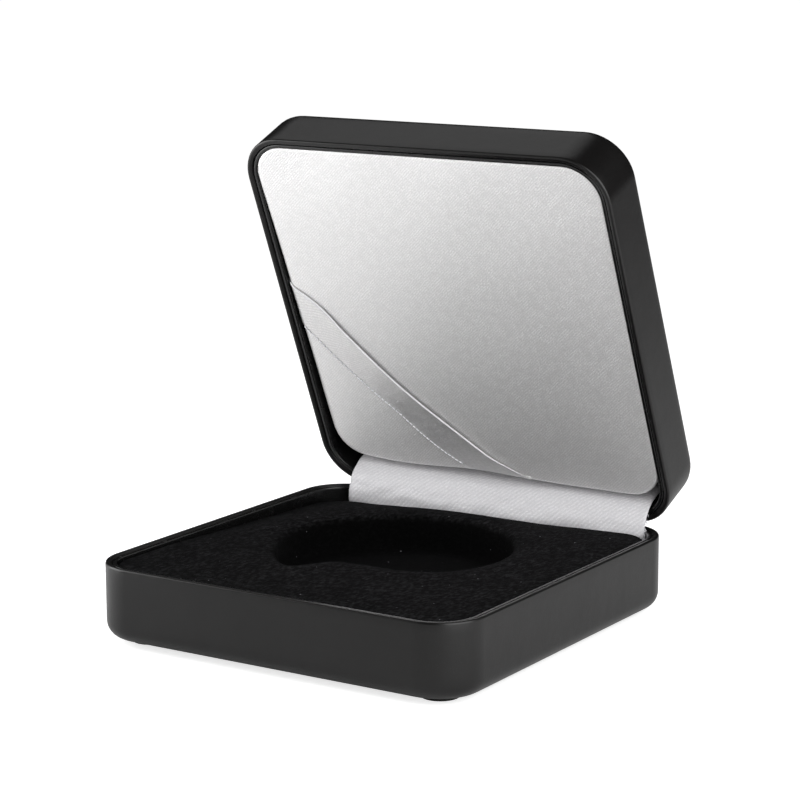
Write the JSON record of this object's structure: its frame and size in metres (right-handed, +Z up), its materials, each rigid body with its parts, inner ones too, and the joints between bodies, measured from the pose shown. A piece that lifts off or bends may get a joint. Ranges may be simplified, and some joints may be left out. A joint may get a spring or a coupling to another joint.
{
  "type": "coin display case",
  "caption": "Square leatherette covered display case for one coin, standing open, with a sprung lid, a coin well and a satin lid pad.",
  "frame": {"origin": "centre of the open case's bounding box, on the surface that its feet stand on", "axes": "+X to the right along the hinge, +Y from the front edge to the hinge, +Z up"},
  "size_m": [0.09, 0.1016, 0.1045],
  "materials": {
    "leatherette_base": "black grained leatherette, satin",
    "leatherette_lid": "black grained leatherette, satin",
    "tray_steel_base": "pressed sheet, matt",
    "tray_steel_lid": "pressed sheet, matt",
    "lining_base": "black, glossy",
    "lining_lid": "black, glossy",
    "foot_rubber": "matt",
    "insert_card": "plain grey board",
    "insert_flock": "black velvet pile",
    "insert_sponge": "foam",
    "pad_card": "plain grey board",
    "pad_satin": "silver satin, soft sheen",
    "pad_sponge": "foam",
    "strip_satin": "silver satin, soft sheen",
    "hinge_steel": "zinc plated",
    "spring_steel": "blued spring steel",
    "rivet_brass": "plain"
  },
  "bodies": {
    "base": {"base_cover": "leatherette_base", "base_shell": "tray_steel_base", "base_lining": "lining_base", "foot_front_left": "foot_rubber", "foot_front_right": "foot_rubber", "foot_rear_left": "foot_rubber", "foot_rear_right": "foot_rubber", "insert_riser": "insert_card", "insert_board": "insert_card", "insert_foam": "insert_sponge", "insert_velvet": "insert_flock", "well_floor": "insert_flock", "base_leaf": "hinge_steel", "hinge_pin": "hinge_steel", "snap_spring_left": "spring_steel", "snap_spring_right": "spring_steel", "base_rivet_1": "rivet_brass", "base_rivet_2": "rivet_brass", "base_rivet_3": "rivet_brass", "base_rivet_4": "rivet_brass", "hinge_cover": "strip_satin"},
    "lid": {"lid_cover": "leatherette_lid", "lid_shell": "tray_steel_lid", "lid_lining": "lining_lid", "lid_riser": "pad_card", "lid_board": "pad_card", "lid_foam": "pad_sponge", "lid_satin": "pad_satin", "lid_sash": "pad_satin", "lid_leaf": "hinge_steel", "lid_rivet_1": "rivet_brass", "lid_rivet_2": "rivet_brass", "lid_rivet_3": "rivet_brass", "lid_rivet_4": "rivet_brass"}
  },
  "joints": [
    {"name": "lid_hinge", "type": "hinge", "parent": "base", "child": "lid", "pos_m": [0, 0.03917, 0.01735], "axis": [-1, 0, 0], "range_deg": [-67, 0], "deforming": ["hinge_cover"]}
  ]
}
